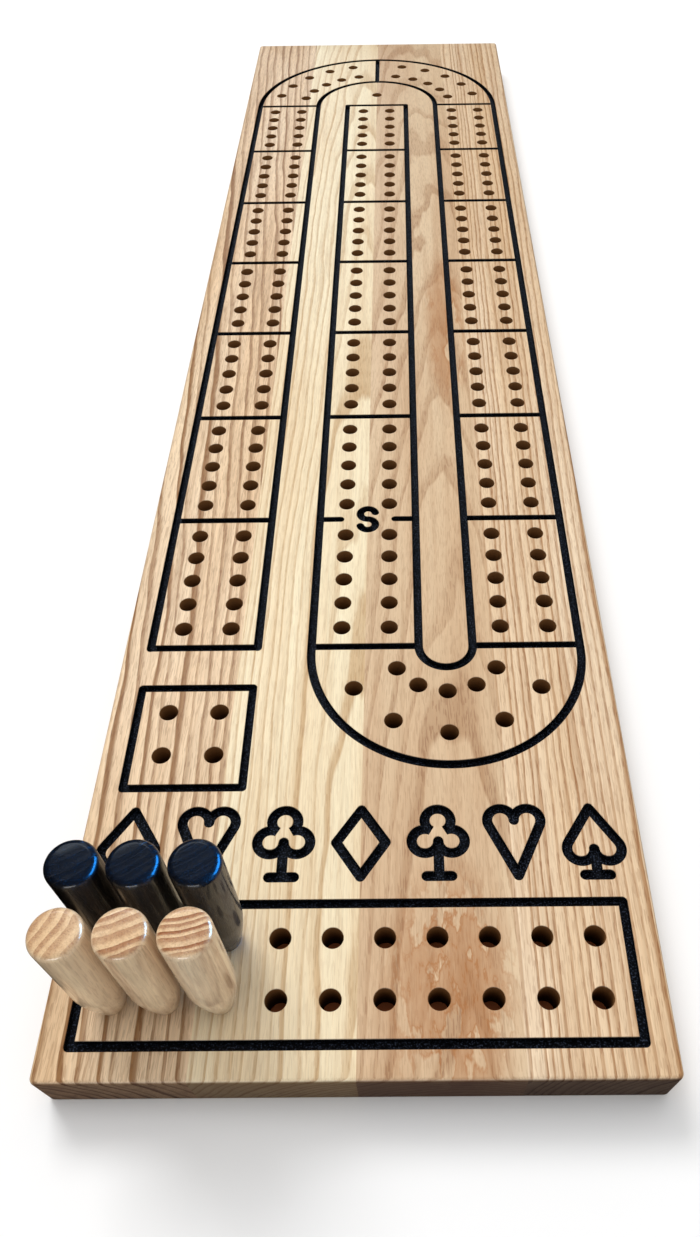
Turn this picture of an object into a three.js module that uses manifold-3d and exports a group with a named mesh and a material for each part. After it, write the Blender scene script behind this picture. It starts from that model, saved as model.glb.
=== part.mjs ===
// Large cribbage board: a flat panel glued up from four ash staves, drilled with blind peg holes
// and engraved with the lanes, and six turned pegs standing in its game-count holes.
// Millimetres. X across the board, Y along it to the far end, Z up, origin under its middle.
import * as THREE from 'three';
import { mergeVertices } from 'three/addons/utils/BufferGeometryUtils.js';
import Module from 'manifold-3d';

const wasm = await Module();
wasm.setup();

// Panel
const boardWidth = 250;
const boardLength = 1041;
const boardThickness = 26;
const cornerRadius = 3;
const edgeRound = 2;
const edgeSteps = 2;
const cornerSteps = 3;
const seams = [-64.5, 0, 65.5];
const staveNames = ['stave_left_outer', 'stave_left_inner', 'stave_right_inner', 'stave_right_outer'];

// Peg holes: a wall of flats around the drilled circle
const holeRadius = 4.6;
const holeDepth = 18;
const holeSides = 8;

// Track: three columns of paired holes in groups of five, joined by a wide and a narrow bend
const pitch = 17.5;
const holesPerGroup = 5;
const groupCount = 7;
const groupGap = 26;
const pairSpacing = 25;
const columnSpacing = 83.5;
const firstRowY = -293.5;
const groupPitch = (holesPerGroup - 1) * pitch + groupGap;
const lastRowY = firstRowY + (groupCount - 1) * groupPitch + (holesPerGroup - 1) * pitch;
const bendTopY = lastRowY + groupGap / 2;
const bendBottomY = firstRowY - groupGap / 2;
const wideBendRadii = [columnSpacing - pairSpacing / 2, columnSpacing + pairSpacing / 2];
const wideBendAngles = [15, 30, 45, 60, 75];
const narrowBendX = columnSpacing / 2;
const narrowBendRadii = [(columnSpacing - pairSpacing) / 2, (columnSpacing + pairSpacing) / 2];
const narrowBendAngles = [-60, -30, 0, 30, 60];
const finishRise = 24;

// Start holes and game-count holes
const startRows = [-372.5, -347.5];
const gameColumns = 10;
const gameColumnPitch = 21.8;
const gameRows = [-489.3, -463.6];

// Engraving
const grooveDepth = 3.5;
const laneWidth = 4.4;
const dividerWidth = 4;
const laneHalf = 27.75;
const returnBendDrop = 3;
const startBox = { bottom: -390.6, top: -332.6 };
const gameBox = { halfWidth: 112, bottom: -506.6, top: -448.4 };
const skunkDashEnd = 15.7;
const skunkLobe = 4.4;
const skunkTail = 15;
const skunkCross = 8;
const cutterRise = 1;
const plungeSides = 8;

// Straight segments along each curved stroke
const wideBendSteps = { outer: 36, inner: 24 };
const narrowBendSteps = { outer: 28, inner: 12 };
const skunkSteps = 12;
const heartSteps = 10;
const clubSteps = 12;

// Ornament band: card suits in outline, the same read from either end
const suitStroke = 4.6;
const strokeOverlap = 0.4;
const suitPitch = 34.4;
const suitBandY = -419.5;
const suitHalfHeight = 16.5;
const diamondHalfWidth = 11;
const suitLobe = 6;
const spadeLobeDrop = 4;
const clubLobe = 5.9;
const suitFoot = 5.5;

// Pegs: a dowel with a rounded top and a bullet-shaped foot on a short tenon
const pegRadius = 9.75;
const pegRise = 73;
const pegTopRound = 2.8;
const taperHeight = 25;
const taperPower = 1.4;
const shoulderRadius = 5.5;
const tenonRadius = 4.4;
const tenonLength = 17;
const tenonChamfer = 0.8;
const pegSides = 14;
const pegColumns = [0, 1, 2];

const ash = { color: 0xd6b07f, roughness: 0.35, metalness: 0 };
const paleAsh = { color: 0xe2c792, roughness: 0.35, metalness: 0 };
const blackStain = { color: 0x16161a, roughness: 0.2, metalness: 0 };
const pegAsh = { color: 0xd9ae7a, roughness: 0.2, metalness: 0 };

function solid(geometry) {
  const bare = geometry.clone();
  bare.deleteAttribute('normal');
  bare.deleteAttribute('uv');
  const merged = mergeVertices(bare, 1e-4);
  return new wasm.Manifold(new wasm.Mesh({
    numProp: 3,
    vertProperties: new Float32Array(merged.attributes.position.array),
    triVerts: new Uint32Array(merged.index.array),
  }));
}

function geometryOf(manifold) {
  const mesh = manifold.getMesh();
  const geometry = new THREE.BufferGeometry();
  geometry.setAttribute('position', new THREE.BufferAttribute(mesh.vertProperties, 3));
  geometry.setIndex(new THREE.BufferAttribute(mesh.triVerts, 1));
  geometry.computeVertexNormals();
  return geometry;
}

// An upright prism of a regular polygon, from z = low to z = high.
function post(x, y, radius, sides, low, high, turn = 0) {
  const geometry = new THREE.CylinderGeometry(radius, radius, high - low, sides);
  geometry.rotateX(Math.PI / 2);
  geometry.rotateZ(turn);
  geometry.translate(x, y, (low + high) / 2);
  return solid(geometry);
}

function blankPanel() {
  const x = boardWidth / 2 - edgeRound;
  const y = boardLength / 2 - edgeRound;
  const r = cornerRadius - edgeRound;
  const outline = new THREE.Shape();
  outline.moveTo(-x + r, -y);
  outline.absarc(x - r, -y + r, r, -Math.PI / 2, 0);
  outline.absarc(x - r, y - r, r, 0, Math.PI / 2);
  outline.absarc(-x + r, y - r, r, Math.PI / 2, Math.PI);
  outline.absarc(-x + r, -y + r, r, Math.PI, 1.5 * Math.PI);
  const geometry = new THREE.ExtrudeGeometry(outline, {
    depth: boardThickness - 2 * edgeRound,
    bevelThickness: edgeRound,
    bevelSize: edgeRound,
    bevelSegments: edgeSteps,
    curveSegments: cornerSteps,
  });
  geometry.translate(0, 0, edgeRound);
  return solid(geometry);
}

// Peg holes

function trackHoles() {
  const centres = [];
  for (const column of [-columnSpacing, 0, columnSpacing]) {
    for (const side of [-pairSpacing / 2, pairSpacing / 2]) {
      for (let group = 0; group < groupCount; group += 1) {
        for (let hole = 0; hole < holesPerGroup; hole += 1) {
          centres.push([column + side, firstRowY + group * groupPitch + hole * pitch]);
        }
      }
    }
  }
  return centres;
}

// Holes on a bend, at angles measured from straight up (way = 1) or straight down (way = -1).
function bendHoles(x, y, radii, angles, way) {
  return radii.flatMap((radius) => angles.map((angle) => {
    const a = THREE.MathUtils.degToRad(angle);
    return [x + radius * Math.sin(a), y + way * radius * Math.cos(a)];
  }));
}

function gameColumnX(column) {
  return (column - (gameColumns - 1) / 2) * gameColumnPitch;
}

function gameHoles() {
  const columns = Array.from({ length: gameColumns }, (_, column) => gameColumnX(column));
  return gameRows.flatMap((y) => columns.map((x) => [x, y]));
}

function startHoles() {
  const sides = [-pairSpacing / 2, pairSpacing / 2];
  return startRows.flatMap((y) => sides.map((side) => [-columnSpacing + side, y]));
}

function allHoles() {
  const wideAngles = [...wideBendAngles.map((angle) => -angle), ...wideBendAngles];
  return [
    ...trackHoles(),
    ...bendHoles(0, bendTopY, wideBendRadii, wideAngles, 1),
    ...bendHoles(narrowBendX, bendBottomY, narrowBendRadii, narrowBendAngles, -1),
    [0, bendTopY + finishRise],
    ...startHoles(),
    ...gameHoles(),
  ];
}

function drill([x, y]) {
  const outerRadius = holeRadius / Math.cos(Math.PI / holeSides);
  const floor = boardThickness - holeDepth;
  return post(x, y, outerRadius, holeSides, floor, boardThickness + cutterRise, Math.PI / holeSides);
}

// Engraving strokes: the path of a flat-ended cutter, which leaves round ends and corners

const grooveLow = boardThickness - grooveDepth;
const grooveHigh = boardThickness + cutterRise;

function bar(x1, y1, x2, y2, width) {
  const length = Math.hypot(x2 - x1, y2 - y1);
  const geometry = new THREE.BoxGeometry(length, width, grooveHigh - grooveLow);
  geometry.rotateZ(Math.atan2(y2 - y1, x2 - x1));
  geometry.translate((x1 + x2) / 2, (y1 + y2) / 2, (grooveLow + grooveHigh) / 2);
  return solid(geometry);
}

function plunge(x, y, width, turn = 0) {
  return post(x, y, width / 2, plungeSides, grooveLow, grooveHigh, turn);
}

// Angles in degrees, counter-clockwise from +X.
function arc(x, y, radius, from, to, width, steps) {
  const a = THREE.MathUtils.degToRad(from);
  const b = THREE.MathUtils.degToRad(to);
  const band = new THREE.Shape();
  band.absarc(x, y, radius + width / 2, a, b, false);
  band.absarc(x, y, radius - width / 2, b, a, true);
  const geometry = new THREE.ExtrudeGeometry(band, {
    depth: grooveHigh - grooveLow,
    bevelEnabled: false,
    curveSegments: steps / 2,
  });
  geometry.translate(0, 0, grooveLow);
  return solid(geometry);
}

// A closed run of bars through the corners, each corner left round on its outside.
function loop(corners, width) {
  return corners.flatMap(([x, y], i) => {
    const [nextX, nextY] = corners[(i + 1) % corners.length];
    return [bar(x, y, nextX, nextY, width), plunge(x, y, width, Math.atan2(nextY - y, nextX - x))];
  });
}

function rectangle(left, bottom, right, top, width) {
  return loop([[left, bottom], [right, bottom], [right, top], [left, top]], width);
}

function lanes() {
  const outer = columnSpacing + laneHalf;
  const inner = columnSpacing - laneHalf;
  const returnY = bendBottomY - returnBendDrop;
  const squareCorners = [
    [-outer, bendBottomY],
    [-inner, bendBottomY],
    [-laneHalf, bendTopY],
    [laneHalf, bendTopY],
  ];
  return [
    bar(-outer, bendBottomY, -outer, bendTopY, laneWidth),
    bar(-inner, bendBottomY, -inner, bendTopY, laneWidth),
    bar(-laneHalf, returnY, -laneHalf, bendTopY, laneWidth),
    bar(laneHalf, bendBottomY, laneHalf, bendTopY, laneWidth),
    bar(inner, bendBottomY, inner, bendTopY, laneWidth),
    bar(outer, returnY, outer, bendTopY, laneWidth),
    arc(0, bendTopY, outer, 0, 180, laneWidth, wideBendSteps.outer),
    arc(0, bendTopY, inner, 0, 180, laneWidth, wideBendSteps.inner),
    arc(narrowBendX, returnY, narrowBendX + laneHalf, 180, 360, laneWidth, narrowBendSteps.outer),
    arc(narrowBendX, bendBottomY, narrowBendX - laneHalf, 180, 360, laneWidth, narrowBendSteps.inner),
    ...squareCorners.map(([x, y]) => plunge(x, y, laneWidth)),
  ];
}

function dividers() {
  const cuts = [];
  for (const column of [-columnSpacing, 0, columnSpacing]) {
    for (let group = 0; group <= groupCount; group += 1) {
      const y = group === groupCount ? bendTopY : bendBottomY + group * groupPitch;
      const isSkunkLine = column === 0 && group === 1;
      if (!isSkunkLine) {
        cuts.push(bar(column - laneHalf, y, column + laneHalf, y, dividerWidth));
      }
    }
  }
  const wideBendInside = bendTopY + columnSpacing - laneHalf;
  const wideBendOutside = bendTopY + columnSpacing + laneHalf;
  cuts.push(bar(0, wideBendInside, 0, wideBendOutside, dividerWidth));
  return cuts;
}

// The skunk line: a dash on each side of an S.
function skunkLine() {
  const y = bendBottomY + groupPitch;
  const cuts = [
    arc(0, y + skunkLobe, skunkLobe, skunkTail, 270 + skunkCross, laneWidth, skunkSteps),
    arc(0, y - skunkLobe, skunkLobe, skunkTail - 180, 90 + skunkCross, laneWidth, skunkSteps),
  ];
  const tail = THREE.MathUtils.degToRad(skunkTail);
  for (const side of [-1, 1]) {
    const tailX = side * skunkLobe * Math.cos(tail);
    const tailY = y + side * skunkLobe * (1 + Math.sin(tail));
    cuts.push(bar(side * laneHalf, y, side * skunkDashEnd, y, dividerWidth));
    cuts.push(plunge(side * skunkDashEnd, y, dividerWidth));
    cuts.push(plunge(tailX, tailY, laneWidth, tail));
  }
  return cuts;
}

function boxes() {
  const left = -columnSpacing - laneHalf;
  const right = -columnSpacing + laneHalf;
  const { halfWidth } = gameBox;
  return [
    ...rectangle(left, startBox.bottom, right, startBox.top, dividerWidth),
    ...rectangle(-halfWidth, gameBox.bottom, halfWidth, gameBox.top, dividerWidth),
  ];
}

// Two lobes and a tip: a heart with way = 1, or the head of a spade with way = -1.
function heart(x, lobeY, tipY, way) {
  const reach = Math.abs(lobeY - tipY);
  const toCentre = Math.atan2(reach, suitLobe);
  const lean = toCentre - Math.asin(suitLobe / Math.hypot(suitLobe, reach));
  const touch = THREE.MathUtils.radToDeg(lean) - 90;
  const touchX = suitLobe * (1 + Math.sin(lean)) + strokeOverlap * Math.cos(lean);
  const touchY = lobeY + way * (strokeOverlap * Math.sin(lean) - suitLobe * Math.cos(lean));
  const rightLobe = way > 0 ? [touch, 180] : [-180, -touch];
  const leftLobe = way > 0 ? [0, 180 - touch] : [180 + touch, 360];
  return [
    arc(x + suitLobe, lobeY, suitLobe, ...rightLobe, suitStroke, heartSteps),
    arc(x - suitLobe, lobeY, suitLobe, ...leftLobe, suitStroke, heartSteps),
    bar(x, tipY, x + touchX, touchY, suitStroke),
    bar(x, tipY, x - touchX, touchY, suitStroke),
    plunge(x, tipY, suitStroke),
  ];
}

function diamond(x, y) {
  const [w, h] = [diamondHalfWidth, suitHalfHeight];
  return loop([[x - w, y], [x, y - h], [x + w, y], [x, y + h]], suitStroke);
}

function stem(x, top, bottom) {
  return [
    plunge(x, top, suitStroke),
    bar(x, top, x, bottom, suitStroke),
    bar(x - suitFoot, bottom, x + suitFoot, bottom, suitStroke),
    plunge(x - suitFoot, bottom, suitStroke),
    plunge(x + suitFoot, bottom, suitStroke),
  ];
}

function spade(x, y) {
  const lobeY = y - spadeLobeDrop;
  return [
    ...heart(x, lobeY, y + suitHalfHeight, -1),
    ...stem(x, lobeY, y - suitHalfHeight),
  ];
}

function club(x, y) {
  const topY = y + suitHalfHeight - clubLobe;
  const sideY = topY - clubLobe * Math.sqrt(3);
  return [
    arc(x, topY, clubLobe, -60, 240, suitStroke, clubSteps),
    arc(x + clubLobe, sideY, clubLobe, -180, 120, suitStroke, clubSteps),
    arc(x - clubLobe, sideY, clubLobe, 60, 360, suitStroke, clubSteps),
    ...stem(x, sideY, y - suitHalfHeight),
  ];
}

function uprightHeart(x, y) {
  const lobeY = y + suitHalfHeight - suitLobe;
  return [
    ...heart(x, lobeY, y - suitHalfHeight, 1),
    plunge(x, lobeY, suitStroke),
  ];
}

function suitBand() {
  const suits = [spade, uprightHeart, club, diamond, club, uprightHeart, spade];
  return suits.flatMap((suit, i) => suit((i - (suits.length - 1) / 2) * suitPitch, suitBandY));
}

function machinedPanel() {
  return blankPanel().subtract(wasm.Manifold.union([
    ...lanes(),
    ...dividers(),
    ...skunkLine(),
    ...boxes(),
    ...suitBand(),
    ...allHoles().map(drill),
  ]));
}

function makeStaves(panel) {
  const edges = [-boardWidth, ...seams, boardWidth];
  return staveNames.map((name, i) => {
    const slab = new THREE.BoxGeometry(edges[i + 1] - edges[i], 2 * boardLength, 4 * boardThickness);
    slab.translate((edges[i] + edges[i + 1]) / 2, 0, 0);
    const wood = name === 'stave_left_inner' ? paleAsh : ash;
    const stave = new THREE.Mesh(
      geometryOf(panel.intersect(solid(slab))),
      new THREE.MeshStandardMaterial(wood),
    );
    stave.name = name;
    return stave;
  });
}

// Height runs up from the board's top face, where the shoulder sits.
function pegProfile() {
  const points = [
    new THREE.Vector2(0, -tenonLength),
    new THREE.Vector2(tenonRadius - tenonChamfer, -tenonLength),
    new THREE.Vector2(tenonRadius, -tenonLength + tenonChamfer),
    new THREE.Vector2(tenonRadius, 0),
  ];
  const taperSteps = 4;
  for (let i = 0; i <= taperSteps; i += 1) {
    const t = i / taperSteps;
    const radius = pegRadius - (pegRadius - shoulderRadius) * (1 - t) ** taperPower;
    points.push(new THREE.Vector2(radius, t * taperHeight));
  }
  const roundSteps = 2;
  for (let i = 0; i <= roundSteps; i += 1) {
    const a = (i / roundSteps) * (Math.PI / 2);
    points.push(new THREE.Vector2(
      pegRadius - pegTopRound * (1 - Math.cos(a)),
      pegRise - pegTopRound * (1 - Math.sin(a)),
    ));
  }
  points.push(new THREE.Vector2(0, pegRise));
  return points;
}

function makePegs(label, row, finish) {
  return pegColumns.map((column) => {
    const geometry = new THREE.LatheGeometry(pegProfile(), pegSides);
    geometry.rotateX(Math.PI / 2);
    const peg = new THREE.Mesh(geometry, new THREE.MeshStandardMaterial(finish));
    peg.name = `${label}_${column + 1}`;
    peg.position.set(gameColumnX(column), row, boardThickness);
    return peg;
  });
}

const cribbageBoard = new THREE.Group();
cribbageBoard.add(...makeStaves(machinedPanel()));
cribbageBoard.add(...makePegs('peg_black', gameRows[1], blackStain));
cribbageBoard.add(...makePegs('peg_natural', gameRows[0], pegAsh));

export default cribbageBoard;
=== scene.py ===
"""Large cribbage board of four glued ash staves, with painted engraving and six turned pegs."""

import math

import bmesh
import bpy
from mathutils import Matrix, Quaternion, Vector
from mathutils.geometry import delaunay_2d_cdt


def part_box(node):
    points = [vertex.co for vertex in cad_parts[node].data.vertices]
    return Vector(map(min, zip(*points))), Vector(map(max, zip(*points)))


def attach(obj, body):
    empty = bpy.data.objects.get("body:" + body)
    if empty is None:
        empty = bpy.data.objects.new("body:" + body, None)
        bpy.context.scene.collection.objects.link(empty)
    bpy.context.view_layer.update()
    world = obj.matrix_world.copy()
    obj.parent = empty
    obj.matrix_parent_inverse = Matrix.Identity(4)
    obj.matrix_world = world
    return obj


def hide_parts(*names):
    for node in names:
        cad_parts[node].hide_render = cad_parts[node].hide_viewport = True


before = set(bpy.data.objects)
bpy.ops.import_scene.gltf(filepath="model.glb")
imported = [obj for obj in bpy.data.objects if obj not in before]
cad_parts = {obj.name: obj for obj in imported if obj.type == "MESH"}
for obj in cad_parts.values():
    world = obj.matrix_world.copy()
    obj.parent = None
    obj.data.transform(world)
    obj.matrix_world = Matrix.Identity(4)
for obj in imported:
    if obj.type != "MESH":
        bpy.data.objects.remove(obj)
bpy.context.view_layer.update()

# Lengths are in millimetres, in the row frame, and become metres where a mesh is made.
MM = 0.001

STAVES = ["stave_left_outer", "stave_left_inner", "stave_right_inner", "stave_right_outer"]
BLACK_PEGS = ["peg_black_1", "peg_black_2", "peg_black_3"]
NATURAL_PEGS = ["peg_natural_1", "peg_natural_2", "peg_natural_3"]

board_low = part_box(STAVES[0])[0] / MM
board_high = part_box(STAVES[-1])[1] / MM
TOP = board_high.z
SEAMS = [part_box(name)[1].x / MM for name in STAVES[:-1]]

# Panel edges
CORNER_RADIUS = 3
EDGE_ROUND = 2
EDGE_STEPS = 6
CORNER_STEPS = 8

# Peg holes
HOLE_RADIUS = 4.6
HOLE_DEPTH = 18
HOLE_RIM = 0.2
HOLE_SIDES = 32

# Track: three columns of paired holes in groups of five, joined by a wide and a narrow bend
PITCH = 17.5
HOLES_PER_GROUP = 5
GROUP_COUNT = 7
GROUP_GAP = 26
PAIR_SPACING = 25
COLUMN_SPACING = 83.5
COLUMNS = (-COLUMN_SPACING, 0, COLUMN_SPACING)
SIDES = (-PAIR_SPACING / 2, PAIR_SPACING / 2)
FIRST_ROW_Y = -293.5
GROUP_PITCH = (HOLES_PER_GROUP - 1) * PITCH + GROUP_GAP
BEND_TOP_Y = FIRST_ROW_Y + GROUP_COUNT * GROUP_PITCH - GROUP_GAP / 2
BEND_BOTTOM_Y = FIRST_ROW_Y - GROUP_GAP / 2
WIDE_BEND_ANGLES = (15, 30, 45, 60, 75)
NARROW_BEND_X = COLUMN_SPACING / 2
NARROW_BEND_ANGLES = (-60, -30, 0, 30, 60)
FINISH_RISE = 24

# Start holes and game-count holes
START_ROWS = (-372.5, -347.5)
GAME_COLUMNS = 10
GAME_COLUMN_PITCH = 21.8
GAME_ROWS = (-489.3, -463.6)

# Engraving
GROOVE_DEPTH = 3.5
GROOVE_RIM = 0.2
ARC_STEPS = 4  # for each radian, times the square root of the radius
PLUNGE_SIDES = 28
LANE_WIDTH = 4.4
DIVIDER_WIDTH = 4
LANE_HALF = 27.75  # from the middle of a column to the middle of its border
RETURN_BEND_DROP = 3  # how far below the columns the wide return bend begins
START_BOX = (-390.6, -332.6)  # bottom and top
GAME_BOX_HALF = 112
GAME_BOX = (-506.6, -448.4)  # bottom and top
SKUNK_DASH_END = 15.7
SKUNK_LOBE = 4.4
SKUNK_TAIL = 15  # degrees above level where the S begins
SKUNK_CROSS = 8  # degrees that each half of the S runs past its middle

# Ornament band of card suits
SUIT_STROKE = 4.6
STROKE_OVERLAP = 0.4  # how far a straight stroke runs on into an arc
SUIT_PITCH = 34.4
SUIT_BAND_Y = -419.5
SUIT_HALF_HEIGHT = 16.5
DIAMOND_HALF_WIDTH = 11
SUIT_LOBE = 6
SPADE_LOBE_DROP = 4  # of the lobes' middles, below the middle of the band
CLUB_LOBE = 5.9
SUIT_FOOT = 5.5

# Pegs
PEG_TOP_ROUND = 2.8
PEG_TAPER_HEIGHT = 25
PEG_TAPER_POWER = 1.4
PEG_SHOULDER = 5.5  # radius at the foot of the taper
PEG_TENON = 4.4  # radius
PEG_TENON_CHAMFER = 0.8
PEG_SIDES = 64
PEG_TAPER_STEPS = 20
PEG_TOP_STEPS = 8

# Flat outlines: each is a list of (x, y) points


def turn(x, y, radius, degrees):
    """The point at a distance and an angle, counter-clockwise from +X, around (x, y)."""
    a = math.radians(degrees)
    return (x + radius * math.cos(a), y + radius * math.sin(a))


def sweep(x, y, radius, start, end, steps):
    return [turn(x, y, radius, start + (end - start) * i / steps) for i in range(steps + 1)]


def circle(x, y, radius, sides):
    return sweep(x, y, radius, 0, 360 - 360 / sides, sides - 1)


def panel_outline(offset):
    """The board's outline at its flat top face, moved outwards by offset."""
    left, bottom = board_low.x + CORNER_RADIUS, board_low.y + CORNER_RADIUS
    right, top = board_high.x - CORNER_RADIUS, board_high.y - CORNER_RADIUS
    corners = [(right, top, 0), (left, top, 90), (left, bottom, 180), (right, bottom, 270)]
    radius = CORNER_RADIUS - EDGE_ROUND + offset
    points = []
    for x, y, start in corners:
        points += sweep(x, y, radius, start, start + 90, CORNER_STEPS)
    return points


# Engraving: each function gives the outlines of its strokes. grow widens a stroke on each side.


def bar(x1, y1, x2, y2, width, grow):
    length = math.hypot(x2 - x1, y2 - y1)
    half = width / 2 + grow
    nx = -(y2 - y1) / length * half
    ny = (x2 - x1) / length * half
    return [(x1 - nx, y1 - ny), (x2 - nx, y2 - ny), (x2 + nx, y2 + ny), (x1 + nx, y1 + ny)]


def plunge(x, y, width, grow):
    """The round mark of a cutter, at the end or the corner of a stroke."""
    return circle(x, y, width / 2 + grow, PLUNGE_SIDES)


def arc(x, y, radius, start, end, width, grow):
    """A band of constant width, with enough steps for its length."""
    half = width / 2 + grow
    steps = round(ARC_STEPS * math.radians(end - start) * math.sqrt(radius))
    outer = sweep(x, y, radius + half, start, end, steps)
    inner = sweep(x, y, radius - half, end, start, steps)
    return outer + inner


def loop(corners, width, grow):
    """Straight strokes from corner to corner and back to the first."""
    strokes = []
    for i, (x, y) in enumerate(corners):
        next_x, next_y = corners[(i + 1) % len(corners)]
        strokes += [bar(x, y, next_x, next_y, width, grow), plunge(x, y, width, grow)]
    return strokes


def rectangle(left, bottom, right, top, grow):
    return loop([(left, bottom), (right, bottom), (right, top), (left, top)], DIVIDER_WIDTH, grow)


def lanes(grow):
    """The long borders of the three columns and the bends that join them."""
    outer = COLUMN_SPACING + LANE_HALF
    inner = COLUMN_SPACING - LANE_HALF
    return_y = BEND_BOTTOM_Y - RETURN_BEND_DROP
    runs = [
        (-outer, BEND_BOTTOM_Y),
        (-inner, BEND_BOTTOM_Y),
        (-LANE_HALF, return_y),
        (LANE_HALF, BEND_BOTTOM_Y),
        (inner, BEND_BOTTOM_Y),
        (outer, return_y),
    ]
    square_corners = [
        (-outer, BEND_BOTTOM_Y),
        (-inner, BEND_BOTTOM_Y),
        (-LANE_HALF, BEND_TOP_Y),
        (LANE_HALF, BEND_TOP_Y),
    ]
    strokes = [bar(x, low, x, BEND_TOP_Y, LANE_WIDTH, grow) for x, low in runs]
    strokes += [plunge(x, y, LANE_WIDTH, grow) for x, y in square_corners]
    strokes += [arc(0, BEND_TOP_Y, radius, 0, 180, LANE_WIDTH, grow) for radius in (inner, outer)]
    wide = NARROW_BEND_X + LANE_HALF
    narrow = NARROW_BEND_X - LANE_HALF
    strokes.append(arc(NARROW_BEND_X, return_y, wide, 180, 360, LANE_WIDTH, grow))
    strokes.append(arc(NARROW_BEND_X, BEND_BOTTOM_Y, narrow, 180, 360, LANE_WIDTH, grow))
    return strokes


def dividers(grow):
    """The cross strokes between groups of holes, and one across the wide bend."""
    strokes = []
    for column in COLUMNS:
        for group in range(GROUP_COUNT + 1):
            y = BEND_TOP_Y if group == GROUP_COUNT else BEND_BOTTOM_Y + group * GROUP_PITCH
            is_skunk_line = column == 0 and group == 1
            if not is_skunk_line:
                left, right = column - LANE_HALF, column + LANE_HALF
                strokes.append(bar(left, y, right, y, DIVIDER_WIDTH, grow))
    inside = BEND_TOP_Y + COLUMN_SPACING - LANE_HALF
    outside = BEND_TOP_Y + COLUMN_SPACING + LANE_HALF
    strokes.append(bar(0, inside, 0, outside, DIVIDER_WIDTH, grow))
    return strokes


def skunk_line(grow):
    """A dash on each side of an S."""
    y = BEND_BOTTOM_Y + GROUP_PITCH
    lower, upper = y - SKUNK_LOBE, y + SKUNK_LOBE
    strokes = [
        arc(0, upper, SKUNK_LOBE, SKUNK_TAIL, 270 + SKUNK_CROSS, LANE_WIDTH, grow),
        arc(0, lower, SKUNK_LOBE, SKUNK_TAIL - 180, 90 + SKUNK_CROSS, LANE_WIDTH, grow),
    ]
    for side, centre in ((1, upper), (-1, lower)):
        tail = turn(0, centre, side * SKUNK_LOBE, SKUNK_TAIL)
        strokes.append(plunge(*tail, LANE_WIDTH, grow))
        strokes.append(bar(side * LANE_HALF, y, side * SKUNK_DASH_END, y, DIVIDER_WIDTH, grow))
        strokes.append(plunge(side * SKUNK_DASH_END, y, DIVIDER_WIDTH, grow))
    return strokes


def boxes(grow):
    """The frames round the start holes and the game-count holes."""
    left = -COLUMN_SPACING - LANE_HALF
    right = -COLUMN_SPACING + LANE_HALF
    strokes = rectangle(left, START_BOX[0], right, START_BOX[1], grow)
    return strokes + rectangle(-GAME_BOX_HALF, GAME_BOX[0], GAME_BOX_HALF, GAME_BOX[1], grow)


def heart(x, lobe_y, tip_y, way, grow):
    """Two lobes and a tip: a heart with way = 1, or the head of a spade with way = -1."""
    reach = abs(lobe_y - tip_y)
    lean = math.atan2(reach, SUIT_LOBE) - math.asin(SUIT_LOBE / math.hypot(SUIT_LOBE, reach))
    touch = math.degrees(lean) - 90
    touch_x = SUIT_LOBE * (1 + math.sin(lean)) + STROKE_OVERLAP * math.cos(lean)
    touch_y = lobe_y + way * (STROKE_OVERLAP * math.sin(lean) - SUIT_LOBE * math.cos(lean))
    right = (touch, 180) if way > 0 else (-180, -touch)
    left = (0, 180 - touch) if way > 0 else (180 + touch, 360)
    return [
        arc(x + SUIT_LOBE, lobe_y, SUIT_LOBE, *right, SUIT_STROKE, grow),
        arc(x - SUIT_LOBE, lobe_y, SUIT_LOBE, *left, SUIT_STROKE, grow),
        bar(x, tip_y, x + touch_x, touch_y, SUIT_STROKE, grow),
        bar(x, tip_y, x - touch_x, touch_y, SUIT_STROKE, grow),
        plunge(x, tip_y, SUIT_STROKE, grow),
    ]


def upright_heart(x, y, grow):
    lobe_y = y + SUIT_HALF_HEIGHT - SUIT_LOBE
    strokes = heart(x, lobe_y, y - SUIT_HALF_HEIGHT, 1, grow)
    return [*strokes, plunge(x, lobe_y, SUIT_STROKE, grow)]


def diamond(x, y, grow):
    w, h = DIAMOND_HALF_WIDTH, SUIT_HALF_HEIGHT
    return loop([(x - w, y), (x, y - h), (x + w, y), (x, y + h)], SUIT_STROKE, grow)


def stem(x, top, bottom, grow):
    """An upright with a foot across its lower end."""
    return [
        plunge(x, top, SUIT_STROKE, grow),
        bar(x, top, x, bottom, SUIT_STROKE, grow),
        bar(x - SUIT_FOOT, bottom, x + SUIT_FOOT, bottom, SUIT_STROKE, grow),
        plunge(x - SUIT_FOOT, bottom, SUIT_STROKE, grow),
        plunge(x + SUIT_FOOT, bottom, SUIT_STROKE, grow),
    ]


def spade(x, y, grow):
    lobe_y = y - SPADE_LOBE_DROP
    head = heart(x, lobe_y, y + SUIT_HALF_HEIGHT, -1, grow)
    return head + stem(x, lobe_y, y - SUIT_HALF_HEIGHT, grow)


def club(x, y, grow):
    top_y = y + SUIT_HALF_HEIGHT - CLUB_LOBE
    side_y = top_y - CLUB_LOBE * math.sqrt(3)
    return [
        arc(x, top_y, CLUB_LOBE, -60, 240, SUIT_STROKE, grow),
        arc(x + CLUB_LOBE, side_y, CLUB_LOBE, -180, 120, SUIT_STROKE, grow),
        arc(x - CLUB_LOBE, side_y, CLUB_LOBE, 60, 360, SUIT_STROKE, grow),
        *stem(x, side_y, y - SUIT_HALF_HEIGHT, grow),
    ]


def suit_band(grow):
    suits = [spade, upright_heart, club, diamond, club, upright_heart, spade]
    strokes = []
    for i, suit in enumerate(suits):
        strokes += suit((i - (len(suits) - 1) / 2) * SUIT_PITCH, SUIT_BAND_Y, grow)
    return strokes


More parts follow.
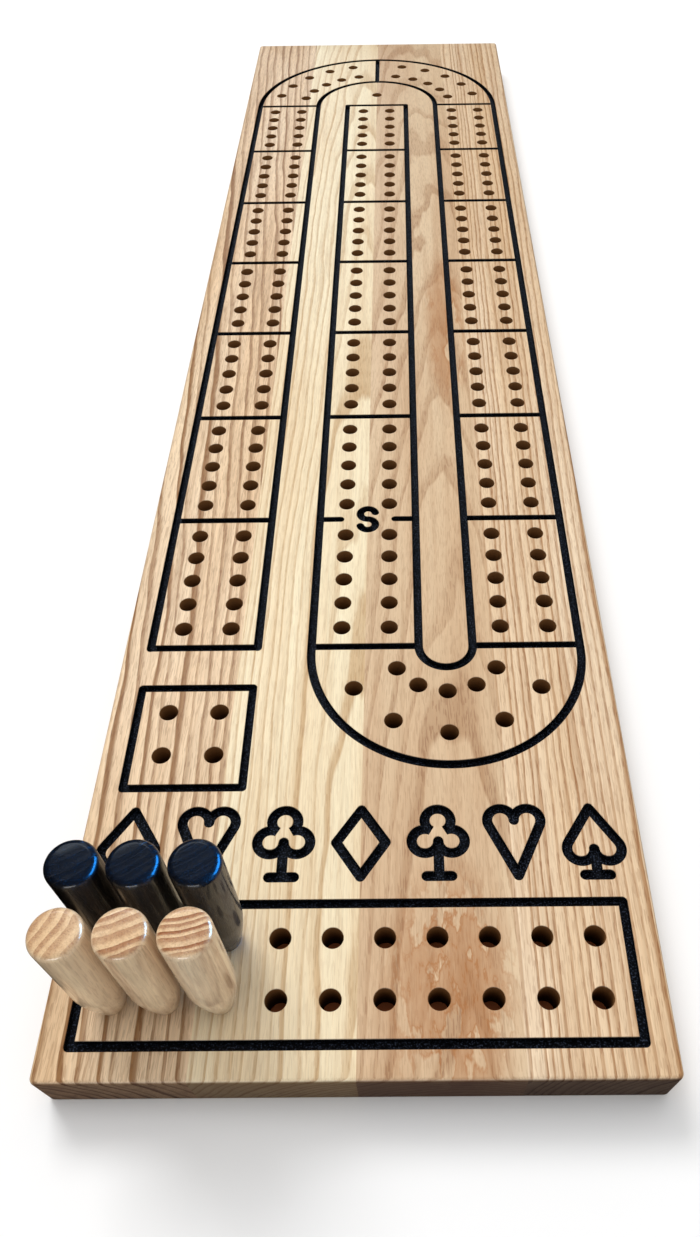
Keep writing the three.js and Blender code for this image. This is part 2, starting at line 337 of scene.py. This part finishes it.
def engraving(grow):
    return lanes(grow) + dividers(grow) + skunk_line(grow) + boxes(grow) + suit_band(grow)


def hole_centres():
    centres = []
    for column in COLUMNS:
        for side in SIDES:
            for group in range(GROUP_COUNT):
                for hole in range(HOLES_PER_GROUP):
                    y = FIRST_ROW_Y + group * GROUP_PITCH + hole * PITCH
                    centres.append((column + side, y))
    for side in SIDES:
        for angle in WIDE_BEND_ANGLES:
            centres.append(turn(0, BEND_TOP_Y, COLUMN_SPACING + side, 90 - angle))
            centres.append(turn(0, BEND_TOP_Y, COLUMN_SPACING + side, 90 + angle))
        for angle in NARROW_BEND_ANGLES:
            radius = COLUMN_SPACING / 2 + side
            centres.append(turn(NARROW_BEND_X, BEND_BOTTOM_Y, radius, angle - 90))
    centres.append((0, BEND_TOP_Y + FINISH_RISE))
    for y in START_ROWS:
        centres += [(-COLUMN_SPACING + side, y) for side in SIDES]
    for y in GAME_ROWS:
        for column in range(GAME_COLUMNS):
            centres.append(((column - (GAME_COLUMNS - 1) / 2) * GAME_COLUMN_PITCH, y))
    return centres


# The board: one flat triangulation, with each triangle at the top or on a groove's or hole's floor

WOOD, PAINT, DRILLED = range(3)
LEVEL_TOP, LEVEL_GROOVE, LEVEL_HOLE = range(3)
FLOORS = {LEVEL_GROOVE: TOP - GROOVE_DEPTH, LEVEL_HOLE: TOP - HOLE_DEPTH}
RIMS = {LEVEL_GROOVE: GROOVE_RIM, LEVEL_HOLE: HOLE_RIM}
SURFACES = {LEVEL_TOP: WOOD, LEVEL_GROOVE: PAINT, LEVEL_HOLE: DRILLED}
# For the triangulation: keep what lies inside the outlines, and join points this close, in mm
KEEP_INSIDE = 1
JOIN_CLOSER = 1e-4
# How far from a cutting plane, in metres, a point still counts as on it
CUT_TOLERANCE = 1e-7
# Faces that meet at more than this many degrees keep a crisp edge
SHARP_ANGLE = 30


def hole_outlines(grow):
    return [circle(x, y, HOLE_RADIUS + grow, HOLE_SIDES) for x, y in hole_centres()]


def plan():
    """The panel from above, as one triangulation.

    Returns its points, its triangles, each triangle's level, the points that touch the plain
    top, and the points of the panel's outline in order.
    """
    outlines = [panel_outline(0)]
    levels = [LEVEL_TOP]
    for level, strokes in (
        (LEVEL_TOP, engraving(GROOVE_RIM)),
        (LEVEL_GROOVE, engraving(0)),
        (LEVEL_TOP, hole_outlines(HOLE_RIM)),
        (LEVEL_HOLE, hole_outlines(0)),
    ):
        outlines += strokes
        levels += [level] * len(strokes)
    points, faces = [], []
    for outline in outlines:
        faces.append(list(range(len(points), len(points) + len(outline))))
        points += [Vector(p) for p in outline]
    found = delaunay_2d_cdt(points, [], faces, KEEP_INSIDE, JOIN_CLOSER)
    verts, _, triangles, verts_from, _, triangles_from = found
    triangle_levels = [max(levels[i] for i in sources) for sources in triangles_from]
    untouched = set()
    for triangle, sources in zip(triangles, triangles_from):
        if len(sources) == 1:
            untouched.update(triangle)
    place = {source: i for i, sources in enumerate(verts_from) for source in sources}
    outline = [place[i] for i in faces[0]]
    return verts, triangles, triangle_levels, untouched, outline


def edge_angles():
    return [math.pi / 2 * (i + 1) / EDGE_STEPS for i in range(EDGE_STEPS)]


def panel_mesh():
    """The whole panel as one closed bmesh, in metres."""
    points, triangles, levels, untouched, outline = plan()
    drops = {}
    for triangle, level in zip(triangles, levels):
        if level != LEVEL_TOP:
            for i in set(triangle) - untouched:
                drops[i] = max(RIMS[level], drops.get(i, 0))
    mesh = bmesh.new()
    made = {}

    def vertex(i, level):
        if (i, level) not in made:
            z = FLOORS.get(level, TOP - drops.get(i, 0))
            made[i, level] = mesh.verts.new((points[i].x * MM, points[i].y * MM, z * MM))
        return made[i, level]

    sides = {}
    for triangle, level in zip(triangles, levels):
        face = mesh.faces.new([vertex(i, level) for i in triangle])
        face.material_index = SURFACES[level]
        for a, b in zip(triangle, triangle[1:] + triangle[:1]):
            sides[a, b] = level
    for (a, b), level in sides.items():
        other = sides.get((b, a))
        if other is not None and level < other:
            upper_edge = [vertex(b, level), vertex(a, level)]
            lower_edge = [vertex(a, other), vertex(b, other)]
            wall = mesh.faces.new(upper_edge + lower_edge)
            wall.material_index = SURFACES[other]
    ring = [vertex(i, LEVEL_TOP) for i in outline]
    levels_down = [(math.sin(a), TOP - EDGE_ROUND * (1 - math.cos(a))) for a in edge_angles()]
    levels_down += [(offset, board_low.z + TOP - z) for offset, z in reversed(levels_down)]
    levels_down.append((0, board_low.z))
    for offset, z in levels_down:
        around = panel_outline(EDGE_ROUND * offset)
        lower = [mesh.verts.new((x * MM, y * MM, z * MM)) for x, y in around]
        for i in range(len(ring)):
            j = (i + 1) % len(ring)
            mesh.faces.new([ring[j], ring[i], lower[i], lower[j]])
        ring = lower
    mesh.faces.new(list(reversed(ring)))
    return mesh


def cut_stave(panel, low, high):
    """The part of the panel between two seams, closed where it is cut."""
    stave = panel.copy()
    for x, side in ((low, -1), (high, 1)):
        if x is None:
            continue
        cut = bmesh.ops.bisect_plane(
            stave,
            geom=[*stave.verts, *stave.edges, *stave.faces],
            dist=CUT_TOLERANCE,
            plane_co=(x * MM, 0, 0),
            plane_no=(side, 0, 0),
            clear_outer=True,
        )
        edges = [e for e in cut["geom_cut"] if isinstance(e, bmesh.types.BMEdge)]
        bmesh.ops.triangle_fill(stave, use_beauty=True, edges=edges, normal=(side, 0, 0))
    return stave


def show(mesh, name, materials):
    """A bmesh as a smooth-shaded object with sharp edges kept."""
    data = bpy.data.meshes.new(name)
    mesh.to_mesh(data)
    mesh.free()
    for material in materials:
        data.materials.append(material)
    data.polygons.foreach_set("use_smooth", [True] * len(data.polygons))
    data.set_sharp_from_angle(angle=math.radians(SHARP_ANGLE))
    thing = bpy.data.objects.new(name, data)
    bpy.context.scene.collection.objects.link(thing)
    return thing


def peg_profile(low, high, radius):
    """(radius, height) pairs from the foot's centre to the top's centre."""
    points = [
        (0, low),
        (PEG_TENON - PEG_TENON_CHAMFER, low),
        (PEG_TENON, low + PEG_TENON_CHAMFER),
        (PEG_TENON, TOP),
    ]
    for i in range(PEG_TAPER_STEPS + 1):
        t = i / PEG_TAPER_STEPS
        inset = (radius - PEG_SHOULDER) * (1 - t) ** PEG_TAPER_POWER
        points.append((radius - inset, TOP + t * PEG_TAPER_HEIGHT))
    for i in range(PEG_TOP_STEPS + 1):
        a = math.pi / 2 * i / PEG_TOP_STEPS
        inset = PEG_TOP_ROUND * (1 - math.cos(a))
        points.append((radius - inset, high - PEG_TOP_ROUND * (1 - math.sin(a))))
    points.append((0, high))
    return points


def peg_mesh(name):
    """One turned peg as a closed bmesh, in metres."""
    low, high = (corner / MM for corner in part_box(name))
    centre = (low + high) / 2
    radius = (high.y - low.y) / 2
    profile = peg_profile(low.z, high.z, radius)
    mesh = bmesh.new()

    def ring(r, z):
        if r == 0:
            return [mesh.verts.new((centre.x * MM, centre.y * MM, z * MM))] * PEG_SIDES
        outline = circle(centre.x, centre.y, r, PEG_SIDES)
        return [mesh.verts.new((x * MM, y * MM, z * MM)) for x, y in outline]

    lower = ring(*profile[0])
    for r, z in profile[1:]:
        upper = ring(r, z)
        for i in range(PEG_SIDES):
            j = (i + 1) % PEG_SIDES
            corners = [lower[i], lower[j], upper[j], upper[i]]
            mesh.faces.new(list(dict.fromkeys(corners)))
        lower = upper
    return mesh


# Materials


def linear(red, green, blue):
    """A display colour, 0 to 255 a channel, as the linear colour a shader takes."""
    values = []
    for channel in (red, green, blue):
        c = channel / 255
        values.append(c / 12.92 if c <= 0.04045 else ((c + 0.055) / 1.055) ** 2.4)
    return (*values, 1)


class Shade:
    """A material under construction, with short calls for the nodes that it uses."""

    def __init__(self, name):
        self.material = bpy.data.materials.new(name)
        self.material.use_nodes = True
        self.tree = self.material.node_tree
        self.surface = self.tree.nodes["Principled BSDF"]

    def put(self, socket, value):
        """Link value to the socket if it comes from a node, or else set the socket to it."""
        if isinstance(value, bpy.types.NodeSocket):
            self.tree.links.new(value, socket)
        else:
            socket.default_value = value

    def node(self, kind, inputs, **settings):
        made = self.tree.nodes.new(kind)
        for key, value in settings.items():
            setattr(made, key, value)
        for key, value in inputs.items():
            self.put(made.inputs[key], value)
        return made

    def math(self, operation, a, b=0.0, c=0.0):
        made = self.node("ShaderNodeMath", {0: a, 1: b, 2: c}, operation=operation)
        return made.outputs[0]

    def vector(self, operation, a, b=(0, 0, 0), scale=1.0):
        made = self.node("ShaderNodeVectorMath", {0: a, 1: b, 3: scale}, operation=operation)
        return made.outputs[1 if operation in ("LENGTH", "DOT_PRODUCT") else 0]

    def place(self):
        """Where a point is in the row frame at rest, in millimetres."""
        coordinates = self.node("ShaderNodeTexCoord", {}).outputs["Object"]
        return self.vector("MULTIPLY", coordinates, (1 / MM,) * 3)

    def noise(self, place, size, detail, rough=0.5, output="Fac"):
        """Noise with features of the given size along each axis, in millimetres."""
        scaled = self.vector("DIVIDE", place, size)
        inputs = {"Vector": scaled, "Scale": 1.0, "Detail": detail, "Roughness": rough}
        return self.node("ShaderNodeTexNoise", inputs).outputs[output]

    def noise_along(self, value):
        """Noise along a line, where value is how far along it a point is."""
        inputs = {"W": value, "Scale": 1.0, "Detail": 1.0}
        return self.node("ShaderNodeTexNoise", inputs, noise_dimensions="1D").outputs["Fac"]

    def wobble(self, place, size, reach):
        """place, pushed about by up to half of reach along each axis."""
        colour = self.noise(place, size, 1.0, output="Color")
        centred = self.vector("SUBTRACT", colour, (0.5, 0.5, 0.5))
        return self.vector("ADD", place, self.vector("MULTIPLY", centred, reach))

    def step(self, value, start, end):
        """A smooth step along value, from 0 at start to 1 at end."""
        inputs = {0: value, 1: start, 2: end}
        made = self.node("ShaderNodeMapRange", inputs, interpolation_type="SMOOTHSTEP")
        return made.outputs[0]

    def ramp(self, value, stops):
        """Grey levels along value: stops are (position, level) pairs."""
        made = self.node("ShaderNodeValToRGB", {"Fac": value})
        elements = made.color_ramp.elements
        while len(elements) < len(stops):
            elements.new(0.5)
        for element, (position, level) in zip(elements, stops):
            element.position = position
            element.color = (level, level, level, 1)
        return made.outputs["Color"]

    def mix(self, factor, a, b, blend="MIX"):
        made = self.tree.nodes.new("ShaderNodeMix")
        made.data_type = "RGBA"
        made.blend_type = blend
        factor_socket, a_socket, b_socket = (made.inputs[i] for i in (0, 6, 7))
        self.put(factor_socket, factor)
        self.put(a_socket, a)
        self.put(b_socket, b)
        return made.outputs[2]

    def finish(self, **inputs):
        """The material, with the shader's inputs set by name, where _ stands for a space."""
        for key, value in inputs.items():
            self.put(self.surface.inputs[key.replace("_", " ")], value)
        return self.material

    def bump(self, height, strength, distance):
        """A normal for a surface raised by height times distance, which is in metres."""
        inputs = {"Height": height, "Strength": strength, "Distance": distance}
        return self.node("ShaderNodeBump", inputs).outputs["Normal"]


# Ash figure: sizes are in millimetres, across the grain and along it
LONG_WAVES = (90, 620)
MIDDLE_WAVES = (26, 150)
RIPPLES = (9, 38)
MIDDLE_REACH = 0.22  # share of drift
RIPPLE_REACH = 0.45  # share of a ring
FIBRES = (0.6, 26)
STREAKS = (3.5, 150)
CLOUDS = (30, 420)
PORES = (0.6, 8)

# How unlike each other the years are: in width, over this many rings, and in depth of colour
YEAR_RUN = 2.3
YEAR_SPREAD = 1.2
PALEST_YEAR = 0.6
YEAR_DEPTH = 0.55

# Where each pattern's noise turns from nothing to full, and how dark full is
END_GRAIN_STEP = (0.5, 0.95)
PORE_STEP = (0.55, 0.59)
CLOUD_STEP = (0.32, 0.68)
STREAK_STEP = (0.4, 0.8)
STREAK_SHADE = 0.45
RING_SHADE = 0.8
FIBRE_SHADE = 0.5
DENSE_WOOD_PORES = 0.4  # share of their strength that pores keep outside a porous band
PORE_TINT = (0.7, 0.55, 0.45)  # of the wood's dark colour

# Height of a pore against that of a porous band, which is WOOD_RELIEF metres where relief is 1
PORE_DEPTH = 1.5
WOOD_RELIEF = 0.0001
POROUS_ROUGHNESS = 0.1
BARE_ROUGHNESS = 0.9

# Stains: patches with a wandering vein, dark along its middle
STAIN_COLOUR = (168, 106, 50)
STAIN_EDGE = (1.0, 0.35)
STAIN_WAVES = (8, 22, 8)
STAIN_REACH = (6, 9, 6)
STAIN_VEIN = [(0.43, 0), (0.46, 0.6), (0.48, 1), (0.51, 0.65), (0.7, 0.4)]


def ash(
    name, tones, pith, lean, spacing, drift, band, contrast, pores, end_grain_and_light_tint,
    along="Y", side=1.0, relief=0.25, rough=0.32, coat=0.3, coat_rough=0.25, specular=0.5,
    bare_ends=True, marks=(),
):
    """Ring-porous wood cut from a log.

    tones are its pale, middle and dark colours, contrast the strength of its figure, and pores
    that of its pores. pith is where the log's centre crosses the plane square to the grain, lean
    how fast it wanders from there, spacing the width of a year's ring, band the porous share of
    a ring, and drift how far slow waves push the rings. The grain runs along the Y or Z axis.
    side is the strength of the rings where they don't show as end grain, and the end tint
    multiplies
    the colour where they do: the darker end grain, with painted shade on the board's ends and a
    painted bluish reflection on the black pegs' tops. relief scales the bump. rough, specular,
    coat and coat_rough are the finish, which bare_ends leaves off the end grain.
    marks are (centre, size, vein size, strength) of stained places.
    """
    shade = Shade(name)
    place = shade.place()
    run_axis = {"Y": (0, 1, 0), "Z": (0, 0, 1)}[along]
    cross_axes = tuple(1 - v for v in run_axis)

    def grain(size):
        across, lengthwise = size
        return tuple(lengthwise if v else across for v in run_axis)

    # Rings: distance from the pith in years, in a log that is bent by slow waves
    bent = shade.wobble(place, grain(LONG_WAVES), (drift,) * 3)
    bent = shade.wobble(bent, grain(MIDDLE_WAVES), (drift * MIDDLE_REACH,) * 3)
    bent = shade.wobble(bent, grain(RIPPLES), (spacing * RIPPLE_REACH,) * 3)
    run = shade.vector("DOT_PRODUCT", bent, run_axis)
    leaning = shade.vector("SCALE", lean, scale=run)
    from_pith = shade.vector("SUBTRACT", shade.vector("MULTIPLY", bent, cross_axes), pith)
    distance = shade.vector("LENGTH", shade.vector("ADD", from_pith, leaning))
    uneven = shade.noise_along(shade.math("DIVIDE", distance, spacing * YEAR_RUN))
    years = shade.math("MULTIPLY_ADD", uneven, YEAR_SPREAD, shade.math("DIVIDE", distance, spacing))
    year = shade.math("FLOOR", years)
    variation = shade.node("ShaderNodeTexWhiteNoise", {"W": year}, noise_dimensions="1D")
    depth = shade.math("MULTIPLY_ADD", variation.outputs["Value"], YEAR_DEPTH, PALEST_YEAR)
    # A ring starts porous all at once, thins out past its band and ends dense
    ring = [(0, 0), (0.06, 1), (band, 0.8), (band * 1.5, 0.18), (1, 0)]
    porous = shade.math("MULTIPLY", shade.ramp(shade.math("FRACT", years), ring), depth)
    facing = shade.node("ShaderNodeTexCoord", {}).outputs["Normal"]
    squareness = shade.math("ABSOLUTE", shade.vector("DOT_PRODUCT", facing, run_axis))
    end_grain = shade.step(squareness, *END_GRAIN_STEP)
    porous = shade.math("MULTIPLY", porous, shade.math("MULTIPLY_ADD", end_grain, 1 - side, side))

    # Figure within the rings
    fibre = shade.noise(bent, grain(FIBRES), detail=3, rough=0.7)
    streak = shade.noise(bent, grain(STREAKS), detail=3, rough=0.6)
    cloud = shade.noise(place, grain(CLOUDS), detail=2)
    dashes = shade.step(shade.noise(bent, grain(PORES), detail=1), *PORE_STEP)
    crowding = shade.math("MULTIPLY_ADD", porous, 1 - DENSE_WOOD_PORES, DENSE_WOOD_PORES)
    dashes = shade.math("MULTIPLY", dashes, crowding)

    # Colour
    pale, middle, dark = (linear(*tone) for tone in tones)
    deep = (*(channel * tint for channel, tint in zip(dark, PORE_TINT)), 1)
    streaked = shade.math("MULTIPLY", shade.step(streak, *STREAK_STEP), STREAK_SHADE * contrast)
    fibrous = shade.math(
        "MULTIPLY_ADD", fibre, FIBRE_SHADE * contrast, 1 - FIBRE_SHADE / 2 * contrast
    )
    wood = shade.mix(shade.step(cloud, *CLOUD_STEP), pale, middle)
    wood = shade.mix(streaked, wood, dark)
    wood = shade.mix(shade.math("MULTIPLY", porous, RING_SHADE * contrast), wood, dark)
    wood = shade.mix(shade.math("MULTIPLY", dashes, pores), wood, deep)
    wood = shade.vector("SCALE", wood, scale=fibrous)
    for centre, size, vein_size, strength in marks:
        offset = shade.vector("DIVIDE", shade.vector("SUBTRACT", place, centre), size)
        near = shade.step(shade.vector("LENGTH", offset), *STAIN_EDGE)
        wandering = shade.wobble(place, STAIN_WAVES, STAIN_REACH)
        vein = shade.ramp(shade.noise(wandering, vein_size, detail=4, rough=0.6), STAIN_VEIN)
        mask = shade.math("MULTIPLY", shade.math("MULTIPLY", near, vein), strength)
        wood = shade.mix(mask, wood, linear(*STAIN_COLOUR))
    # The end tint darkens end grain. On the board's ends it also paints shade, and on the black
    # pegs' tops it paints a bluish reflection.
    end_grain_and_light_colour = shade.mix(1.0, wood, (*end_grain_and_light_tint, 1), "MULTIPLY")
    wood = shade.mix(end_grain, wood, end_grain_and_light_colour)

    # Relief and finish
    height = shade.math("MULTIPLY_ADD", dashes, -PORE_DEPTH, shade.math("MULTIPLY", porous, -1.0))
    roughness = shade.math("MULTIPLY_ADD", porous, POROUS_ROUGHNESS, rough)
    if bare_ends:
        roughness = shade.math("MULTIPLY_ADD", end_grain, BARE_ROUGHNESS - rough, roughness)
        coat = shade.math("MULTIPLY_ADD", end_grain, -coat, coat)
    return shade.finish(
        Base_Color=wood,
        Roughness=roughness,
        Normal=shade.bump(height, 1.0, WOOD_RELIEF * relief),
        Coat_Weight=coat,
        Coat_Roughness=coat_rough,
        Specular_IOR_Level=specular,
    )


# Black paint in the engraving: its own colour and the painted highlight colour of its glossy
# glints, with sizes in millimetres
PAINT_COLOUR = (5, 6, 10)
GLINT_COLOUR = (52, 60, 76)
PAINT_LUMPS = (1.1, 1.1, 1.1)
PAINT_GLINTS = (0.7, 0.7, 0.7)
PAINT_GLINT_STEP = (0.54, 0.66)
PAINT_ROUGHNESS = 0.55
PAINT_GLINT_GLOSS = 0.2
PAINT_RELIEF = 0.0005  # metres


def groove_paint():
    """Black paint brushed into the engraving: rough, with small glossy glints lightened by a
    painted highlight.
    """
    shade = Shade("groove_paint")
    place = shade.place()
    lumps = shade.noise(place, PAINT_LUMPS, detail=3, rough=0.65)
    glints = shade.step(shade.noise(place, PAINT_GLINTS, detail=2), *PAINT_GLINT_STEP)
    return shade.finish(
        # The glints' lighter bluish colour is a painted highlight. Their lower roughness is real
        # gloss.
        Base_Color=shade.mix(glints, linear(*PAINT_COLOUR), linear(*GLINT_COLOUR)),
        Roughness=shade.math("MULTIPLY_ADD", glints, -PAINT_GLINT_GLOSS, PAINT_ROUGHNESS),
        Normal=shade.bump(lumps, 0.9, PAINT_RELIEF),
        Specular_IOR_Level=0.3,
    )


# Drilled wood, from the mouth of a hole down to its floor, with heights in millimetres. Its colours
# are partly the darker bare wood and partly painted shade, overall and more towards the foot of the
# wall
MOUTH_COLOUR = (160, 114, 68)
MOUTH_DEPTH = 1
FOOT_SHADE_COLOUR = (44, 26, 15)
FOOT_HEIGHT = 3
FLOOR_COLOUR = (150, 84, 50)
FLOOR_EDGE = (0.2, 0.05)
CHATTER_COLOUR = (58, 34, 18)
CHATTER_MARKS = (2.2, 2.2, 0.6)
CHATTER_SHADE = 0.45
CHATTER_RELIEF = 0.0003  # metres


def drilled_wood():
    """Bare wood inside a drilled hole: painted shade darkens its wall towards the foot, and it is
    reddish on its floor.
    """
    shade = Shade("drilled_wood")
    place = shade.place()
    height = shade.node("ShaderNodeSeparateXYZ", {0: place}).outputs[2]
    floor = FLOORS[LEVEL_HOLE]
    chatter = shade.noise(place, CHATTER_MARKS, detail=2)
    # Painted shade: the wall darkens from the mouth's colour to a near-black foot.
    painted_shade_depth = shade.step(height, TOP - MOUTH_DEPTH, floor + FOOT_HEIGHT)
    on_floor = shade.step(height, *(floor + rise for rise in FLOOR_EDGE))
    marked = shade.math("MULTIPLY", chatter, CHATTER_SHADE)
    colour = shade.mix(painted_shade_depth, linear(*MOUTH_COLOUR), linear(*FOOT_SHADE_COLOUR))
    colour = shade.mix(marked, colour, linear(*CHATTER_COLOUR))
    return shade.finish(
        Base_Color=shade.mix(on_floor, colour, linear(*FLOOR_COLOUR)),
        Roughness=0.8,
        Normal=shade.bump(chatter, 0.4, CHATTER_RELIEF),
        Specular_IOR_Level=0.1,
    )


# Each stave's end tint is partly its darker end grain and partly painted shade of the board's unlit
# front end, deeper from left to right. The back end gets the same.
STAVE_WOODS = {
    "stave_left_outer": dict(
        slot="ash_brown_grain",
        tones=((239, 213, 178), (227, 194, 154), (150, 108, 66)),
        pith=(-176, 0, -44), lean=(0.03, 0, 0.016),
        spacing=5.2, drift=14, band=0.26, contrast=1.25, pores=0.6,
        end_grain_and_light_tint=(0.28, 0.21, 0.15),
    ),
    "stave_left_inner": dict(
        slot="ash_pale",
        tones=((242, 228, 194), (235, 213, 175), (190, 152, 104)),
        pith=(2, 0, -42), lean=(0.016, 0, 0.03),
        spacing=3.5, drift=20, band=0.24, contrast=0.9, pores=0.3,
        end_grain_and_light_tint=(0.24, 0.18, 0.12),
    ),
    "stave_right_inner": dict(
        slot="ash_rose",
        tones=((221, 195, 160), (209, 177, 141), (155, 108, 66)),
        pith=(46, 0, -56), lean=(0.0, 0, 0.04),
        spacing=3.6, drift=22, band=0.26, contrast=0.6, pores=0.4,
        end_grain_and_light_tint=(0.18, 0.12, 0.085),
        marks=(
            ((52, -10, TOP), (18, 120, 30), (11, 90, 11), 0.85),
            ((38, -484, TOP), (34, 66, 30), (8, 22, 8), 0.85),
        ),
    ),
    "stave_right_outer": dict(
        slot="ash_striped",
        tones=((236, 213, 182), (226, 196, 158), (160, 110, 62)),
        pith=(172, 0, -24), lean=(0.004, 0, 0.012),
        spacing=3.5, drift=9, band=0.28, contrast=1.0, pores=0.5,
        end_grain_and_light_tint=(0.13, 0.09, 0.065),
    ),
}


def make_board():
    panel = panel_mesh()
    paint = groove_paint()
    drilled = drilled_wood()
    edges = [None, *SEAMS, None]
    for i, name in enumerate(STAVES):
        look = dict(STAVE_WOODS[name])
        slot = look.pop("slot")
        mesh = cut_stave(panel, edges[i], edges[i + 1])
        stave = show(mesh, name + "_wood", [ash(slot, **look), paint, drilled])
        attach(stave, "board")
        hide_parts(name)
    panel.free()


# The black stain's bluish cast, and the blue end tint that turns the tops blue, are a painted
# reflection of bluish surroundings.
BLACK_ASH = dict(
    tones=((12, 14, 19), (9, 10, 14), (4, 4, 6)), band=0.5, pores=0.3,
    end_grain_and_light_tint=(1.0, 1.4, 2.2), side=0.8, relief=2.5, rough=0.38, coat=0.5, coat_rough=0.1,
    bare_ends=False, specular=0.3,
)
NATURAL_ASH = dict(
    tones=((248, 226, 192), (240, 212, 172), (158, 98, 56)), band=0.46, pores=0.3,
    end_grain_and_light_tint=(0.92, 0.85, 0.78), side=0.4, relief=0.4, rough=0.3, coat=0.8, coat_rough=0.12,
    bare_ends=False,
)
# Of each peg: the bearing of its log's pith, a year's ring and the strength of its figure
PEG_GRAIN = (
    (115, 3.4, 0.9),
    (120, 2.9, 0.9),
    (118, 2.6, 0.9),
    (150, 4.4, 0.7),
    (105, 3.5, 0.95),
    (95, 2.7, 1.1),
)
PEG_PITH_AWAY = 40  # from the peg's middle
PEG_LEAN = (0.03, 0.02, 0)
PEG_DRIFT = 7


def make_pegs():
    pegs = []
    for name, (bearing, ring_width, contrast) in zip(BLACK_PEGS + NATURAL_PEGS, PEG_GRAIN):
        is_black = name in BLACK_PEGS
        low, high = (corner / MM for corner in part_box(name))
        pith = turn((low.x + high.x) / 2, (low.y + high.y) / 2, PEG_PITH_AWAY, bearing)
        look = BLACK_ASH if is_black else NATURAL_ASH
        material = ash(
            name + "_wood", pith=(*pith, 0), lean=PEG_LEAN, spacing=ring_width, drift=PEG_DRIFT,
            contrast=contrast, along="Z", **look,
        )
        peg = show(peg_mesh(name), name + "_turned", [material])
        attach(peg, name)
        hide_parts(name)
        pegs.append(peg)
    return pegs


# Scene, in metres and degrees

FLOOR_REACH = 6
SURROUNDINGS = 0.45  # brightness of the plain surroundings
BOARD_CENTRE = (0, 0, 0)
PEG_TOPS = (-0.07, -0.47, 0.09)
CAMERA_PLACE = (0.0190, -0.6027, 0.3828)
CAMERA_TARGET = (0.01705, -0.3464, 0.026)
CAMERA_ROLL = -0.907
CAMERA_LENS = 25.963
CAMERA_SENSOR = 36
CAMERA_SHIFT = (-0.03913, 0.07276)


def make_floor():
    data = bpy.data.meshes.new("floor")
    z = board_low.z * MM
    quarters = ((-1, -1), (1, -1), (1, 1), (-1, 1))
    corners = [(FLOOR_REACH * x, FLOOR_REACH * y, z) for x, y in quarters]
    data.from_pydata(corners, [], [(0, 1, 2, 3)])
    floor = bpy.data.objects.new("floor", data)
    bpy.context.scene.collection.objects.link(floor)
    shade = Shade("floor")
    data.materials.append(shade.finish(Base_Color=(0.9, 0.9, 0.9, 1), Roughness=0.9))
    floor.visible_glossy = False


def soft_light(
    name, location, target, size, power, colour=(1, 1, 1), lights_up=True, reflects=True, only=None
):
    """A rectangular light that points at target.

    lights_up says whether it brightens surfaces, and reflects whether it shows in glossy ones.
    With only, a list of objects, nothing else receives it.
    """
    data = bpy.data.lights.new(name, "AREA")
    data.shape = "RECTANGLE"
    data.size, data.size_y = size
    data.energy = power
    data.color = colour
    lamp = bpy.data.objects.new(name, data)
    lamp.location = location
    lamp.rotation_euler = (Vector(target) - Vector(location)).to_track_quat("-Z", "Y").to_euler()
    lamp.visible_diffuse = lights_up
    lamp.visible_glossy = reflects
    bpy.context.scene.collection.objects.link(lamp)
    if only:
        receivers = bpy.data.collections.new(name + "_receivers")
        for thing in only:
            receivers.objects.link(thing)
        lamp.light_linking.receiver_collection = receivers


def make_lights(pegs):
    world = bpy.data.worlds.new("studio")
    world.use_nodes = True
    background = world.node_tree.nodes["Background"]
    background.inputs["Color"].default_value = (1, 1, 1, 1)
    background.inputs["Strength"].default_value = SURROUNDINGS
    bpy.context.scene.world = world
    world.cycles_visibility.glossy = False
    black, natural = pegs[: len(BLACK_PEGS)], pegs[len(BLACK_PEGS) :]

    soft_light("window", (-2.3, 4.3, 5.9), BOARD_CENTRE, size=(3.4, 2.8), power=320, reflects=False)
    soft_light("ceiling", (0, 0, 3.2), BOARD_CENTRE, size=(2.4, 2.4), power=43, reflects=False)
    soft_light(
        "glare", (-0.95, 1.45, 2.26), (-0.1, -0.37, 0.03), size=(1.25, 0.8), power=8,
        colour=(0.84, 0.93, 1), lights_up=False,
    )
    soft_light(
        "sheen", (-0.6, 4.5, 2.3), (-0.06, 0.1, 0.03), size=(1.2, 2.4), power=10,
        colour=(0.78, 0.9, 1), lights_up=False,
    )
    soft_light(
        "screen", (0.92, -0.2, 0.5), PEG_TOPS, size=(1.3, 0.6), power=80,
        colour=(0.02, 0.3, 1), lights_up=False, only=black,
    )
    soft_light(
        "lamp", (0.95, 0.1, 0.4), PEG_TOPS, size=(0.9, 0.6), power=36,
        colour=(0.3, 0.65, 1), lights_up=False, only=natural,
    )
    soft_light(
        "front_card", (-0.3, -2.8, 0.7), (0, -0.5, 0.02), size=(1.6, 0.6), power=18,
        lights_up=False,
    )


def make_camera():
    data = bpy.data.cameras.new("camera")
    data.lens = CAMERA_LENS
    data.sensor_width = CAMERA_SENSOR
    data.shift_x, data.shift_y = CAMERA_SHIFT
    camera = bpy.data.objects.new("camera", data)
    camera.location = CAMERA_PLACE
    camera.rotation_mode = "QUATERNION"
    look = Vector(CAMERA_TARGET) - Vector(CAMERA_PLACE)
    roll = Quaternion((0, 0, 1), math.radians(CAMERA_ROLL))
    camera.rotation_quaternion = look.to_track_quat("-Z", "Y") @ roll
    bpy.context.scene.collection.objects.link(camera)
    bpy.context.scene.camera = camera


make_board()
pegs = make_pegs()
make_floor()
make_lights(pegs)
make_camera()
bpy.context.scene.view_settings.view_transform = "Standard"
